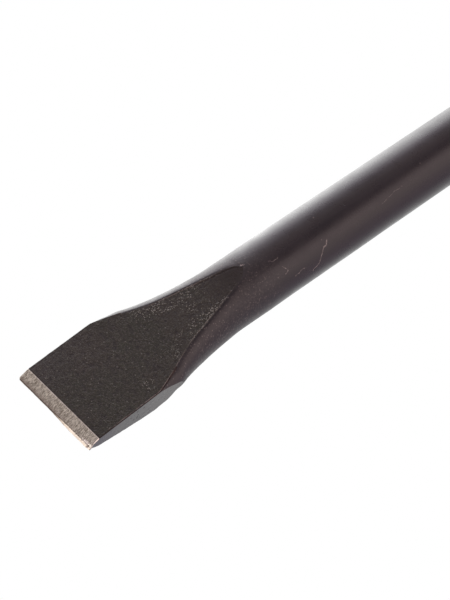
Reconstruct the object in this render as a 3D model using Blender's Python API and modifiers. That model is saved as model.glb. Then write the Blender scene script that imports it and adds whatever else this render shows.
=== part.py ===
"""Flat cold chisel, 24 mm edge on a round 16 mm bar, 250 mm long, with a push-on hand guard.

Frame: metres, +Z up. The origin is the centre of the striking face and +X points out of that face,
away from the cutting edge, which lies at X = -LENGTH. Z is the normal of the blade.
"""

from math import acos, atan2, cos, pi, sin, sqrt

import bmesh
import bpy

MM = 0.001

# ---------------------------------------------------------------- forging
LENGTH = 250.0  # cutting edge to striking face
EDGE_WIDTH = 24.0  # width of the cutting edge, across the side flats
SHANK_RADIUS = 8.0  # round bar
EDGE_LAND = 0.3  # thickness left at the very edge
BEVEL_LENGTH = 2.5  # ground bevel, measured along the axis
BEVEL_BACK_HALF = 1.26  # half thickness where the ground bevel meets the forged face
FACE_SLOPE = 0.101  # growth of the half thickness per millimetre, just behind the bevel
FACE_CURL = 8.8e-6  # cubic term that sweeps the forged faces up into the bar
FLANK_CORNER_AT = 20.2  # the forged flank starts to round the corner of the side flat here
SIDE_FLAT_END = 27.3  # the side flat runs out here
FLARE_END = 66.0  # the bar is fully round from here on
# (distance from the edge, half width of the flat forged face)
FACE_HALF_WIDTHS = (
    (20.2, 12.0),
    (22.6, 11.25),
    (25.0, 10.4),
    (30.0, 8.5),
    (35.0, 6.9),
    (38.0, 6.2),
    (41.0, 5.5),
    (44.0, 4.8),
    (47.0, 4.08),
    (50.0, 3.32),
    (52.5, 2.65),
    (54.5, 1.75),
)
# (distance from the edge, half width over the rounded flanks)
FLANK_HALF_WIDTHS = (
    (20.2, 13.4),
    (22.8, 12.9),
    (24.5, 12.45),
    (26.0, 12.15),
    (27.3, 12.0),
    (30.0, 11.2),
    (35.0, 10.05),
    (40.0, 9.3),
    (45.0, 8.75),
    (50.0, 8.3),
    (57.0, 8.08),
    (66.0, 8.0),
)
HEAD_TAPER_START = 243.5  # the bar narrows towards the struck end
HEAD_TAPER_RADIUS = 7.2
HEAD_CORNER = 1.1  # rounding of the struck corner, along the axis
STRIKING_RADIUS = 6.2  # flat disc that the hammer meets

# ---------------------------------------------------------------- hand guard
GAP = 0.3
GUARD_FRONT = 144.0
GUARD_BACK = 235.0
BORE_RADIUS = SHANK_RADIUS + GAP
SLEEVE_RADIUS = 10.2  # hard sleeve under the soft grip
FLANGE_FRONT = 221.0
FLANGE_BACK = 225.0
FLANGE_RADIUS = 22.5
COLLAR_RADIUS = 12.0
GRIP_RADIUS = 13.0
GRIP_RIB = 0.7
GRIP_RIB_COUNT = 9
GRIP_RIB_PITCH = 6.6
CUSHION_RADIUS = 25.5
CUSHION_BACK = 230.0

ACROSS_FACE = 6  # quads across a forged face
ROUND_FLANK = 10  # quads on each quarter of the bar
TURN_STEPS = 40


def smooth_through(table, x):
    """Monotone cubic through the (x, y) stations of a table, held constant outside it."""
    if x <= table[0][0]:
        return table[0][1]
    if x >= table[-1][0]:
        return table[-1][1]
    slopes = [
        (b[1] - a[1]) / (b[0] - a[0]) for a, b in zip(table[:-1], table[1:])
    ]
    tangents = [slopes[0]]
    for left, right in zip(slopes[:-1], slopes[1:]):
        same = left * right > 0
        tangents.append(2 * left * right / (left + right) if same else 0.0)
    tangents.append(slopes[-1])
    for i, (a, b) in enumerate(zip(table[:-1], table[1:])):
        if x <= b[0]:
            span = b[0] - a[0]
            t = (x - a[0]) / span
            return (
                (1 + 2 * t) * (1 - t) ** 2 * a[1]
                + t * (1 - t) ** 2 * span * tangents[i]
                + t * t * (3 - 2 * t) * b[1]
                + t * t * (t - 1) * span * tangents[i + 1]
            )


def face_height(s):
    """Half thickness of the forged blade at distance s from the edge."""
    u = s - BEVEL_LENGTH
    return BEVEL_BACK_HALF + FACE_SLOPE * u + FACE_CURL * u**3


def find_face_end():
    """Distance at which the forged face has risen to the top of the bar."""
    low, high = BEVEL_LENGTH, FLARE_END
    for _ in range(60):
        middle = (low + high) / 2
        if face_height(middle) < SHANK_RADIUS:
            low = middle
        else:
            high = middle
    return high


FACE_END = find_face_end()


def section(s):
    """Outline of the forging at distance s from the edge, as (y, z) pairs going round once.

    The order is top face, +Y to -Y, then the -Y flank, the bottom face and the +Y flank. Strips
    that have run out to nothing come back as repeated points.
    """
    half_edge = EDGE_WIDTH / 2
    if s > HEAD_TAPER_START:
        height = wide = head_radius(s)
        flat = 0.0
    elif s >= FACE_END:
        height, flat = SHANK_RADIUS, 0.0
        wide = smooth_through(FLANK_HALF_WIDTHS, s)
    elif s > FLANK_CORNER_AT:
        height = face_height(s)
        flat = smooth_through(FACE_HALF_WIDTHS + ((FACE_END, 0.0),), s)
        wide = smooth_through(FLANK_HALF_WIDTHS, s)
    else:
        height = face_height(s) if s >= BEVEL_LENGTH else EDGE_LAND / 2
        flat = wide = half_edge
    if s <= FLANK_CORNER_AT:
        flank = [(half_edge, height)] * (ROUND_FLANK + 1)
    else:
        centre = (wide**2 - flat**2 - height**2) / (2 * (wide - flat))
        radius = wide - centre
        start = atan2(height, flat - centre)
        end = acos((half_edge - centre) / radius) if wide > half_edge else 0.0
        flank = []
        for i in range(ROUND_FLANK + 1):
            angle = start + (end - start) * i / ROUND_FLANK
            flank.append((centre + radius * cos(angle), radius * sin(angle)))
    side = flank + [(y, -z) for y, z in reversed(flank)]
    top = [(flat - 2 * flat * i / ACROSS_FACE, height) for i in range(ACROSS_FACE)]
    bottom = [(-y, -z) for y, z in top]
    left = [(-y, z) for y, z in side[:-1]]
    right = [(y, z) for y, z in reversed(side[1:])]
    return top + left + bottom + right


def head_radius(s):
    """Radius of the struck end: a straight taper, then a rounded corner down to the flat disc."""
    corner = LENGTH - HEAD_CORNER
    if s <= corner:
        t = (s - HEAD_TAPER_START) / (corner - HEAD_TAPER_START)
        return SHANK_RADIUS + (HEAD_TAPER_RADIUS - SHANK_RADIUS) * t
    t = min(1.0, (s - corner) / HEAD_CORNER)
    return STRIKING_RADIUS + (HEAD_TAPER_RADIUS - STRIKING_RADIUS) * sqrt(1 - t * t)


def spread(start, end, count):
    return [start + (end - start) * i / count for i in range(1, count + 1)]


def forging_stations():
    stations = [0.0, BEVEL_LENGTH]
    stations += spread(BEVEL_LENGTH, FLANK_CORNER_AT, 6)
    stations += spread(FLANK_CORNER_AT, SIDE_FLAT_END, 4)
    stations += spread(SIDE_FLAT_END, FACE_END, 12)
    stations += spread(FACE_END, FLARE_END, 3)
    stations += spread(FLARE_END, HEAD_TAPER_START, 4)
    stations += spread(HEAD_TAPER_START, LENGTH - HEAD_CORNER, 1)
    stations += spread(LENGTH - HEAD_CORNER, LENGTH, 4)
    return stations


def make_forging():
    """Loft from the flat blade to the round bar; its strips end at the corners of the flats."""
    mesh = bmesh.new()
    rings = []
    for s in forging_stations():
        x = (s - LENGTH) * MM
        rings.append([mesh.verts.new((x, y * MM, z * MM)) for y, z in section(s)])
    count = len(rings[0])
    for near, far in zip(rings[:-1], rings[1:]):
        for i in range(count):
            j = (i + 1) % count
            mesh.faces.new((near[i], near[j], far[j], far[i]))
    # The edge land is a strip between the first top row and the first bottom row.
    edge = rings[0]
    half = count // 2
    top = edge[: ACROSS_FACE + 1]
    bottom = [edge[(half + ACROSS_FACE - i) % count] for i in range(ACROSS_FACE + 1)]
    for i in range(ACROSS_FACE):
        mesh.faces.new((top[i + 1], top[i], bottom[i], bottom[i + 1]))
    mesh.faces.new(rings[-1])
    bmesh.ops.remove_doubles(mesh, verts=mesh.verts, dist=1e-6)
    bmesh.ops.dissolve_degenerate(mesh, edges=mesh.edges, dist=1e-7)
    bmesh.ops.recalc_face_normals(mesh, faces=mesh.faces)
    data = bpy.data.meshes.new("chisel_forging")
    mesh.to_mesh(data)
    mesh.free()
    return bpy.data.objects.new("chisel_forging", data)


def turned(name, profile):
    """Ring turned about the X axis from a closed profile of (distance from the edge, radius).

    The profile is listed from the blade end to the head end along its outer side and back along
    its inner side. It is drawn in the XZ plane about Z, turned round so that the outer side runs
    down, and the object is laid over onto X.
    """
    data = bpy.data.meshes.new(name)
    points = [(radius * MM, 0.0, (s - LENGTH) * MM) for s, radius in reversed(profile)]
    loop = [(i, (i + 1) % len(points)) for i in range(len(points))]
    data.from_pydata(points, loop, [])
    ring = bpy.data.objects.new(name, data)
    screw = ring.modifiers.new("Turn", "SCREW")
    screw.axis = "Z"
    screw.angle = 2 * pi
    screw.steps = screw.render_steps = TURN_STEPS
    screw.use_merge_vertices = True
    screw.merge_threshold = 0.00001
    screw.use_smooth_shade = True
    ring.rotation_euler = (0.0, pi / 2, 0.0)
    return ring


def core_profile():
    """Hard sleeve with its hand flange, and a collar behind the flange."""
    outer = [
        (146.0, SLEEVE_RADIUS - 0.6),
        (146.8, SLEEVE_RADIUS),
        (216.5, SLEEVE_RADIUS + 0.6),
        (219.6, SLEEVE_RADIUS + 2.2),
        (FLANGE_FRONT, SLEEVE_RADIUS + 6.0),
        (FLANGE_FRONT, FLANGE_RADIUS - 0.5),
        (FLANGE_FRONT + 0.5, FLANGE_RADIUS),
        (FLANGE_BACK - 0.5, FLANGE_RADIUS),
        (FLANGE_BACK, FLANGE_RADIUS - 0.5),
        (FLANGE_BACK, COLLAR_RADIUS),
        (GUARD_BACK - 1.0, COLLAR_RADIUS - 0.3),
        (GUARD_BACK, COLLAR_RADIUS - 1.2),
    ]
    bore = [
        (GUARD_BACK, BORE_RADIUS + 0.8),
        (GUARD_BACK - 1.2, BORE_RADIUS),
        (146.0, BORE_RADIUS),
    ]
    return outer + bore


def grip_profile():
    """Soft ribbed sleeve: a lip over the front of the core, ribs, and a flare before the flange."""
    outer = [(GUARD_FRONT, GRIP_RADIUS - 1.5), (GUARD_FRONT + 1.0, GRIP_RADIUS - 0.3)]
    first = 152.0
    for rib in range(GRIP_RIB_COUNT):
        start = first + rib * GRIP_RIB_PITCH
        outer += [
            (start, GRIP_RADIUS),
            (start + 1.0, GRIP_RADIUS + GRIP_RIB),
            (start + 3.6, GRIP_RADIUS + GRIP_RIB),
            (start + 4.6, GRIP_RADIUS),
        ]
    outer += [
        (213.0, GRIP_RADIUS + 0.4),
        (217.0, GRIP_RADIUS + 2.0),
        (219.6, GRIP_RADIUS + 4.6),
        (FLANGE_FRONT - GAP, GRIP_RADIUS + 5.2),
    ]
    inner = [
        (FLANGE_FRONT - GAP, SLEEVE_RADIUS + 6.2),
        (219.2, SLEEVE_RADIUS + 2.6),
        (216.3, SLEEVE_RADIUS + 0.95),
        (146.6, SLEEVE_RADIUS + 0.35),
        (145.7, SLEEVE_RADIUS - 0.3),
        (145.7, BORE_RADIUS + 0.1),
        (GUARD_FRONT, BORE_RADIUS + 0.1),
    ]
    return outer + inner


def cushion_profile():
    """Soft pad on the struck side of the flange, hooked over the flange's rim."""
    rim = FLANGE_RADIUS + GAP
    outer = [
        (FLANGE_FRONT - GAP, rim - 2.6),
        (FLANGE_FRONT - GAP - 1.4, rim - 2.2),
        (FLANGE_FRONT - GAP - 1.9, rim - 0.6),
        (FLANGE_FRONT - GAP - 1.3, rim + 1.7),
        (FLANGE_FRONT + 0.6, CUSHION_RADIUS),
        (FLANGE_BACK + 1.6, CUSHION_RADIUS),
        (CUSHION_BACK - 0.6, CUSHION_RADIUS - 2.0),
        (CUSHION_BACK, CUSHION_RADIUS - 4.0),
        (CUSHION_BACK, COLLAR_RADIUS + 1.8),
        (CUSHION_BACK - 0.8, COLLAR_RADIUS + GAP + 0.2),
    ]
    inner = [
        (FLANGE_BACK + GAP, COLLAR_RADIUS + GAP),
        (FLANGE_BACK + GAP, rim),
        (FLANGE_FRONT - GAP, rim),
    ]
    return outer + inner


def material(name, colour, roughness, metallic):
    made = bpy.data.materials.new(name)
    made.use_nodes = True
    shader = made.node_tree.nodes["Principled BSDF"]
    shader.inputs["Base Color"].default_value = (*colour, 1.0)
    shader.inputs["Roughness"].default_value = roughness
    shader.inputs["Metallic"].default_value = metallic
    made.diffuse_color = (*colour, 1.0)
    return made


def main():
    for old in list(bpy.data.objects):
        bpy.data.objects.remove(old, do_unlink=True)

    collection = bpy.data.collections.new("cold_chisel")
    bpy.context.scene.collection.children.link(collection)

    pieces = [
        (make_forging(), material("black_forged_steel", (0.045, 0.035, 0.031), 0.5, 0.4)),
        (turned("guard_core", core_profile()), material("hard_guard_plastic", (0.025, 0.026, 0.028), 0.45, 0.0)),
        (turned("soft_grip", grip_profile()), material("soft_grip_rubber", (0.016, 0.016, 0.017), 0.75, 0.0)),
        (turned("flange_cushion", cushion_profile()), material("soft_cushion_rubber", (0.016, 0.016, 0.017), 0.75, 0.0)),
    ]
    for piece, finish in pieces:
        piece.data.materials.append(finish)
        collection.objects.link(piece)

    forging = pieces[0][0]
    forging.data.shade_smooth()
    forging.data.set_sharp_from_angle(angle=0.3)

    # The guard's pieces ride together on a carrier that slides along the bar's axis.
    carrier = bpy.data.objects.new("hand_guard", None)
    carrier.empty_display_size = 0.02
    collection.objects.link(carrier)
    for piece, _ in pieces[1:]:
        piece.parent = carrier


main()
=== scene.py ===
from math import acos, atan2, cos, exp, floor, pi, radians, sin, sqrt

import bmesh
import bpy
from mathutils import Matrix, Vector, noise
from mathutils.bvhtree import BVHTree


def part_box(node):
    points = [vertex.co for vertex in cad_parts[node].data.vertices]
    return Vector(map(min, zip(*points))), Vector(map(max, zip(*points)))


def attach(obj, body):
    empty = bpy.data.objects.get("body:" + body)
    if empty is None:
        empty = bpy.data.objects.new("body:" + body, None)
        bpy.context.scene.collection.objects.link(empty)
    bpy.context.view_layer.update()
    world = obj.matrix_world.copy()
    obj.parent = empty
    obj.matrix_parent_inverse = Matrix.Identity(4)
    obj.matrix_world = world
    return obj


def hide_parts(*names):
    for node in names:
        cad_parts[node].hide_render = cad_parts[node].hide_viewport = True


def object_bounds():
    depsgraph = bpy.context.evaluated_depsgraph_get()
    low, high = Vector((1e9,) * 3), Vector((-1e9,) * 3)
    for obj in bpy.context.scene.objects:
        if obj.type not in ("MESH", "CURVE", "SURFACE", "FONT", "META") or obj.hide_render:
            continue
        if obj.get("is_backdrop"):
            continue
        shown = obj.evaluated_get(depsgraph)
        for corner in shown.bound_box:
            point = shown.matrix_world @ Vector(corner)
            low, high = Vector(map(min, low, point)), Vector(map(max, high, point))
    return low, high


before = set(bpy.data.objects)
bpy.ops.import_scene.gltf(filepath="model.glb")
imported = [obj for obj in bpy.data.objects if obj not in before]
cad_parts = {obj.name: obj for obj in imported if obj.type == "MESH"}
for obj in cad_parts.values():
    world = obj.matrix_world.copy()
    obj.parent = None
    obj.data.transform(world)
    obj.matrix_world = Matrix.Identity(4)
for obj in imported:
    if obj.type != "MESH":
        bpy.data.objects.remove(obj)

cad_low, cad_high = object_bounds()

# ------------------------------------------------------------------ sizes, in millimetres
MM = 0.001
forging_low, forging_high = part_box("chisel_forging")
LENGTH = -forging_low.x / MM
HALF_EDGE = forging_high.y / MM
BAR = forging_high.z / MM

BEVEL = 2.5
BEVEL_BACK = 1.26
FACE_SLOPE = 0.101
FACE_CURL = 8.8e-6
FLANK_CORNER = 20.2
SIDE_FLAT_END = 27.3
FLARE_END = 66.0
FACE_WIDTHS = (
    (20.2, 12.0), (22.6, 11.25), (25.0, 10.4), (30.0, 8.5), (35.0, 6.9), (38.0, 6.2), (41.0, 5.5),
    (44.0, 4.8), (47.0, 4.08), (50.0, 3.32), (52.5, 2.65), (54.5, 1.75),
)
FLANK_WIDTHS = (
    (20.2, 13.2), (21.2, 12.9), (23.1, 12.6), (25.1, 12.22), (27.3, 12.0), (30.0, 11.2), (35.0, 10.05),
    (40.0, 9.3), (45.0, 8.75), (50.0, 8.3), (57.0, 8.08), (66.0, 8.0),
)
# the lower corner of the -Y side flat starts to round earlier
LOW_CORNER = 18.3
LOW_FACE_WIDTHS = ((18.3, 12.0), (20.7, 11.6)) + FACE_WIDTHS[1:]
LOW_FLANK_WIDTHS = ((18.3, 13.3), (20.7, 12.75), (22.6, 12.68), (24.4, 12.38), (25.7, 12.1)) + FLANK_WIDTHS[4:]
# how far the widest line of the -Y flank stands above the middle, where the hammer drew it up
FLANK_LIFT = ((18.5, 0.0), (21.0, 0.35), (23.0, 0.55), (25.0, 0.7), (27.3, 0.75), (30.0, 0.5), (36.0, 0.0))
DRAWN_IN = ((27.0, 0.0), (31.0, 0.12), (36.0, 0.28), (42.0, 0.42), (48.0, 0.42), (54.0, 0.26), (62.0, 0.08), (72.0, 0.0))
# stays inside the guard's bore, which reaches 66 mm from the edge when the guard is right forward
RUN_OUT = ((48.0, 0.0), (54.0, 0.16), (60.0, 0.25), (66.0, 0.23), (72.0, 0.22), (84.0, 0.17), (100.0, 0.06), (116.0, 0.0))
HEAD_TAPER, HEAD_TAPER_RADIUS, HEAD_CORNER, STRIKING_RADIUS = 243.5, 7.2, 1.1, 6.2
GAP = 0.3
GUARD_FRONT, GUARD_BACK = 144.0, 235.0
BORE = BAR + GAP
SLEEVE = 10.2
FLANGE_FRONT, FLANGE_BACK, FLANGE = 221.0, 225.0, 22.5
COLLAR = 12.0
GRIP, RIB, RIBS, RIB_PITCH = 13.0, 0.7, 9, 6.6
CUSHION, CUSHION_BACK = 25.5, 230.0


def clamp(v, low=0.0, high=1.0):
    return low if v < low else high if v > high else v


def ease(low, high, v):
    """0 below low, 1 above high, smooth between."""
    t = clamp((v - low) / (high - low))
    return t * t * (3 - 2 * t)


def smooth_through(table, x):
    if x <= table[0][0]:
        return table[0][1]
    if x >= table[-1][0]:
        return table[-1][1]
    slopes = [(b[1] - a[1]) / (b[0] - a[0]) for a, b in zip(table[:-1], table[1:])]
    tangents = [slopes[0]]
    for left, right in zip(slopes[:-1], slopes[1:]):
        tangents.append(2 * left * right / (left + right) if left * right > 0 else 0.0)
    tangents.append(slopes[-1])
    for i, (a, b) in enumerate(zip(table[:-1], table[1:])):
        if x <= b[0]:
            span = b[0] - a[0]
            t = (x - a[0]) / span
            return ((1 + 2 * t) * (1 - t) ** 2 * a[1] + t * (1 - t) ** 2 * span * tangents[i]
                    + t * t * (3 - 2 * t) * b[1] + t * t * (t - 1) * span * tangents[i + 1])


def grain(x, y, z, scale, seed=0.0):
    """Smooth noise in about -1..1, with features of 1/scale millimetres."""
    return noise.noise(Vector((x * scale + seed, y * scale - seed * 0.7, z * scale + seed * 1.3)))


# ------------------------------------------------------------------ the forging
def face_height(s):
    u = s - BEVEL
    return BEVEL_BACK + FACE_SLOPE * u + FACE_CURL * u ** 3


low, high = BEVEL, FLARE_END
for _ in range(60):
    middle = (low + high) / 2
    low, high = (middle, high) if face_height(middle) < BAR else (low, middle)
FACE_END = high
WIDTHS = FACE_WIDTHS + ((FACE_END, 0.0),)
UPPER = (FLANK_CORNER, WIDTHS, FLANK_WIDTHS)
LOWER = (LOW_CORNER, LOW_FACE_WIDTHS + ((FACE_END, 0.0),), LOW_FLANK_WIDTHS)
EDGE_HALF = 0.13

N_FACE, N_FILLET, N_ARC, N_FLAT = 46, 4, 18, 5


def blade_height(s):
    """Half thickness with the ridge between ground bevel and forged face slightly worn."""
    ground = EDGE_HALF + (BEVEL_BACK - EDGE_HALF) * s / BEVEL
    forged = face_height(s)
    k = 0.035
    return (ground + forged) / 2 - sqrt(((ground - forged) / 2) ** 2 + k * k)


def head_radius(s):
    corner = LENGTH - HEAD_CORNER
    if s <= corner:
        t = (s - HEAD_TAPER) / (corner - HEAD_TAPER)
        blend = ease(HEAD_TAPER - 1.2, HEAD_TAPER + 1.6, s)
        return BAR + (HEAD_TAPER_RADIUS - BAR) * max(0.0, t) * blend
    t = min(1.0, (s - corner) / HEAD_CORNER)
    return STRIKING_RADIUS + (HEAD_TAPER_RADIUS - STRIKING_RADIUS) * sqrt(max(0.0, 1 - t * t))


def quarter(s, half_width, blade_reach, shape=UPPER):
    """Outline of one quarter from the top middle to the side middle. Points come as (y, z).

    blade_reach is how far the worn corner between the blade's face and its side flat runs.
    """
    corner, face_widths, flank_widths = shape
    if s > HEAD_TAPER - 1.2:
        height = wide = head_radius(s)
        flat = 0.0
    elif s >= FACE_END:
        height, flat = BAR, 0.0
        wide = smooth_through(flank_widths, s)
    elif s > corner:
        height = face_height(s)
        flat = smooth_through(face_widths, s)
        wide = smooth_through(flank_widths, s)
    else:
        height = blade_height(s)
        flat = wide = half_width
    if s <= corner:
        arc_end = (half_width, height)
        arc_at = lambda t: arc_end
        arc_length = 0.0
    else:
        centre = (wide ** 2 - flat ** 2 - height ** 2) / (2 * (wide - flat))
        radius = wide - centre
        start = atan2(height, flat - centre)
        end = acos((HALF_EDGE - centre) / radius) if wide > HALF_EDGE else 0.0
        arc_at = lambda t: (centre + radius * cos(start + (end - start) * t), radius * sin(start + (end - start) * t))
        arc_end = arc_at(1.0)
        arc_length = radius * (start - end)
    flat_half = arc_end[1] if (s < SIDE_FLAT_END) else 0.0
    # The worn corner between the face and what follows it.
    reach = blade_reach + (0.24 - blade_reach) * ease(FLANK_CORNER, FLANK_CORNER + 5.0, s)
    reach = min(reach, 0.34 * height, 0.45 * flat)
    if arc_length > 0:
        pull = min(reach, 0.45 * (arc_length + flat_half))
        if arc_length >= pull:
            arc_from = pull / arc_length
            corner_to = arc_at(arc_from)
            flat_top = arc_end[1]
        else:
            arc_from = 1.0
            flat_top = arc_end[1] - (pull - arc_length)
            corner_to = (arc_end[0], flat_top)
    else:
        arc_from = 1.0
        flat_top = height - reach
        corner_to = (half_width, flat_top)
    corner_from = (max(0.0, flat - reach), height)
    # columns crowd together towards the corner of the face
    points = [(corner_from[0] * (1.4 * i / N_FACE - 0.4 * (i / N_FACE) ** 2), height) for i in range(N_FACE)]
    for i in range(N_FILLET):
        t = i / N_FILLET
        points.append((
            (1 - t) ** 2 * corner_from[0] + 2 * t * (1 - t) * flat + t * t * corner_to[0],
            (1 - t) ** 2 * corner_from[1] + 2 * t * (1 - t) * height + t * t * corner_to[1],
        ))
    for i in range(N_ARC):
        points.append(arc_at(arc_from + (1 - arc_from) * i / N_ARC) if arc_from < 1.0 else corner_to)
    side = arc_end[0] if arc_length else half_width
    if s >= SIDE_FLAT_END:
        points += [(wide, 0.0)] * (N_FLAT + 1)
    else:
        points += [(side, flat_top * (1 - i / N_FLAT)) for i in range(N_FLAT + 1)]
    return points


def stations():
    out = [0.0, 0.05, 0.12, 0.2, 0.3, 0.42, 0.56, 0.75, 1.0, 1.3, 1.6, 1.85, 2.05, 2.2, 2.34, 2.44, 2.5, 2.56, 2.66, 2.8]
    s = 2.8
    for stop, step in ((FLANK_CORNER, 0.37), (SIDE_FLAT_END, 0.34), (FACE_END, 0.36), (FLARE_END, 0.6), (142.0, 1.5), (232.0, 9.0), (HEAD_TAPER - 1.2, 1.1), (LENGTH - HEAD_CORNER, 0.5)):
        count = max(1, round((stop - s) / step))
        out += [s + (stop - s) * i / count for i in range(1, count + 1)]
        s = stop
    out += [LENGTH - HEAD_CORNER * (1 - sin(pi / 2 * i / 6)) for i in range(1, 7)]
    return out


def inside_face(x, y, z):
    """Millimetres from the corner of the forged face: above 0 on the face, below 0 out on the flank."""
    s, y, z = x + LENGTH, abs(y), abs(z)
    if s >= FACE_END:
        return -sqrt((s - FACE_END) ** 2 + y * y) - 0.2
    half = 12.0 if s <= FLANK_CORNER else smooth_through(WIDTHS, s)
    drop = blade_height(s) - z if s <= FLANK_CORNER else face_height(s) - z
    out = y - half
    if drop < 0.12 and out < 0.05:
        return -out
    return -sqrt(max(0.0, out) ** 2 + drop ** 2)


def corner_inset(s, radius):
    return radius - sqrt(max(0.0, radius ** 2 - (radius - s) ** 2)) if s < radius else 0.0


LACQUER_FACE, LACQUER_BAR, GROUND, SIDE_FLAT, EDGE_BARE, HEAD_FACE, CORNER, SCUFF = range(8)


def strip_kind(q, s_mid):
    """Material of a strip of the quarter outline, q counted in segments from the top middle."""
    if s_mid < BEVEL:
        return GROUND if q < N_FACE + N_FILLET - 1 else SIDE_FLAT
    if q < N_FACE:
        return LACQUER_FACE
    if q < N_FACE + N_FILLET:
        return CORNER if s_mid < SIDE_FLAT_END else LACQUER_BAR
    if q < N_FACE + N_FILLET + N_ARC:
        return LACQUER_BAR
    return SIDE_FLAT


def relief(x, y, z, s, on_face):
    """How far the forged skin stands off its ideal surface, in millimetres."""
    if s < BEVEL + 0.05:
        return 0.0
    # hammering and rolling leave long soft hollows
    out = 0.05 * grain(x, y, z, 0.10, 3.0) * ease(4.0, 14.0, s) * (0.3 if s > 60 else 1.0)
    out += 0.018 * grain(x, y, z, 0.33, 11.0) * (0.3 if s > 58 else 1.0)
    if s < 64:
        if on_face:
            half = smooth_through(WIDTHS, s) if s > FLANK_CORNER else 12.0
            inside = half - abs(y)
            near = exp(-(inside / 2.6) ** 2) * ease(17.0, 26.0, s) * (1 - ease(46.0, 56.0, s))
            patch = clamp(0.5 + 1.6 * grain(x, y, z, 0.16, 21.0))
            rough = 0.30 + 0.75 * near * (0.4 + 0.6 * patch) + 0.45 * patch * ease(12.0, 22.0, s)
            pebble = grain(x, y, z, 1.15, 5.0) * 0.6 + grain(x, y, z, 2.1, 8.0) * 0.4
            out += 0.030 * rough * (1 - ease(50.0, 62.0, s) * 0.6) * pebble
            crater = grain(x, y, z, 0.95, 31.0)
            if crater > 0.42:
                out -= 0.07 * (crater - 0.42) * rough
            # the metal lapped over itself beside the +Y corner, close to the bar
            lap = ease(43.0, 47.0, s) * (1 - ease(55.0, 57.5, s))
            if y > 0:
                out += 0.055 * lap * exp(-((inside - 0.45 - 0.2 * grain(x, 0, 0, 0.4, 19.0)) / 0.22) ** 2)
                out -= 0.05 * lap * exp(-((inside - 0.95) / 0.25) ** 2)
            else:
                out += 0.03 * exp(-((inside - 0.3) / 0.25) ** 2) * ease(22.0, 30.0, s) * (0.6 + 0.8 * grain(x, 0, 0, 0.7, 23.0))
        else:
            out += 0.008 * grain(x, y, z, 1.4, 6.0) * (1 - 0.5 * ease(45.0, 62.0, s))
    else:
        out += 0.003 * grain(x * 0.4, y, z, 0.9, 9.0)
    return out


SCUFFS = (
    (0.20, ((71.6, -7.75, 1.98), (74.0, -7.50, 2.78), (74.9, -7.05, 3.78), (75.6, -6.6, 4.52), (76.0, -6.35, 4.87))),
    (0.40, ((75.6, -6.6, 4.52), (76.4, -6.1, 5.18), (77.2, -6.05, 5.24), (77.7, -5.6, 5.71), (78.2, -5.1, 6.16))),
    (0.14, ((76.9, -4.55, 6.58), (76.6, -4.95, 6.28))),
    (0.13, ((63.9, -4.75, 6.44), (64.8, -5.65, 5.66))),
    (0.34, ((64.8, -5.65, 5.66), (65.1, -5.95, 5.35), (63.8, -6.2, 5.06))),
    (0.18, ((62.2, -5.95, 5.35), (61.5, -6.0, 5.29))),
    (0.16, ((66.1, -7.2, 3.49), (67.7, -7.1, 3.69), (69.0, -6.95, 3.96), (70.0, -7.15, 3.59))),
    (0.13, ((59.8, -7.3, 3.27), (59.1, -7.75, 1.98))),
    (0.09, ((61.5, -2.0, 7.75), (62.4, -2.9, 7.46), (63.6, -3.0, 7.42), (64.6, -2.7, 7.53))),
    (0.07, ((96.0, -5.6, 5.71), (101.0, -4.9, 6.32), (104.0, -4.9, 6.32))),
    (0.55, ((55.3, 0.55, 7.98), (56.1, 0.45, 7.99), (56.5, 0.1, 8.0))),
)


def add_scuffs(mesh, tree):
    """Hair-thin raised scuffs on the lacquer, through the points of SCUFFS, laid on the skin."""
    for number, (width, points) in enumerate(SCUFFS):
        samples = []
        for a, b in zip(points[:-1], points[1:]):
            a, b = Vector(a), Vector(b)
            count = max(2, int((b - a).length / 0.14))
            samples += [a.lerp(b, i / count) for i in range(count)]
        samples.append(Vector(points[-1]))
        pairs = []
        for i, sample in enumerate(samples):
            ahead = (samples[min(i + 1, len(samples) - 1)] - samples[max(i - 1, 0)]).normalized()
            wander = 0.16 * noise.noise(sample * 1.7 + Vector((number, 0, 0))) + 0.07 * noise.noise(sample * 5.0)
            out = Vector((0.0, sample.y, sample.z)).normalized()
            sideways = ahead.cross(out).normalized()
            body = 0.5 + 0.9 * noise.noise(sample * 4.1 + Vector((0, number, 0)))
            ends = min(1.0, (i + 0.4) / 3, (len(samples) - 0.6 - i) / 3)
            half = 0.5 * width * clamp(body, 0.15, 1.1) * ends
            pair = []
            for side in (-1, 1):
                at = sample + sideways * (wander + side * half)
                probe = Vector(((at.x - LENGTH) * MM, at.y * MM, at.z * MM))
                place, normal, _, _ = tree.find_nearest(probe)
                place = place + normal * (0.010 * MM)
                pair.append(mesh.verts.new(place))
            pairs.append(pair)
        for near, far in zip(pairs[:-1], pairs[1:]):
            face = mesh.faces.new((near[0], near[1], far[1], far[0]))
            face.material_index = SCUFF
            face.normal_update()
            middle = face.calc_center_median()
            if face.normal.dot(Vector((0.0, middle.y, middle.z))) < 0:
                face.normal_flip()


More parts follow.
